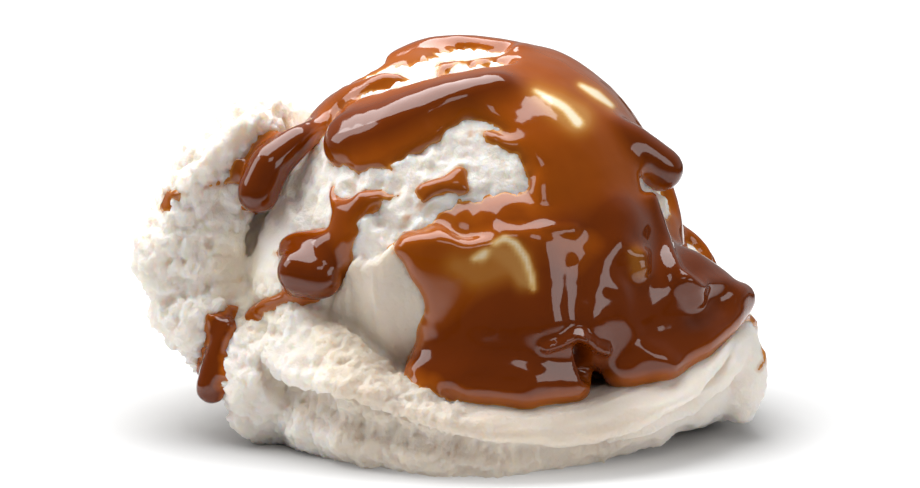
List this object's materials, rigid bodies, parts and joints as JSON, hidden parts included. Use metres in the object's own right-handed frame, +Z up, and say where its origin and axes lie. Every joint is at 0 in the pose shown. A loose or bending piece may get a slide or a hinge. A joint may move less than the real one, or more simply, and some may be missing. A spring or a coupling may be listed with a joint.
{
  "type": "ice cream sundae",
  "caption": "Scoop of vanilla ice cream with a rolled skirt and a torn petal curling up at one side, under thick poured caramel sauce.",
  "frame": {"origin": "on the table under the middle of the whole object's bounding box", "axes": "+Z up, +Y away from the viewer who sees the sauce's front, +X to that viewer's right, so that the torn petal is on the -X side"},
  "size_m": [0.1004, 0.0812, 0.0618],
  "materials": {
    "ice_cream": "soft cream white, slightly moist, torn and crumbly",
    "caramel": "wet brown caramel, amber where it is thin"
  },
  "bodies": {
    "root": {"ice_cream": "ice_cream", "caramel_pour": "caramel", "caramel_bulb": "caramel", "caramel_drip": "caramel"}
  },
  "joints": []
}
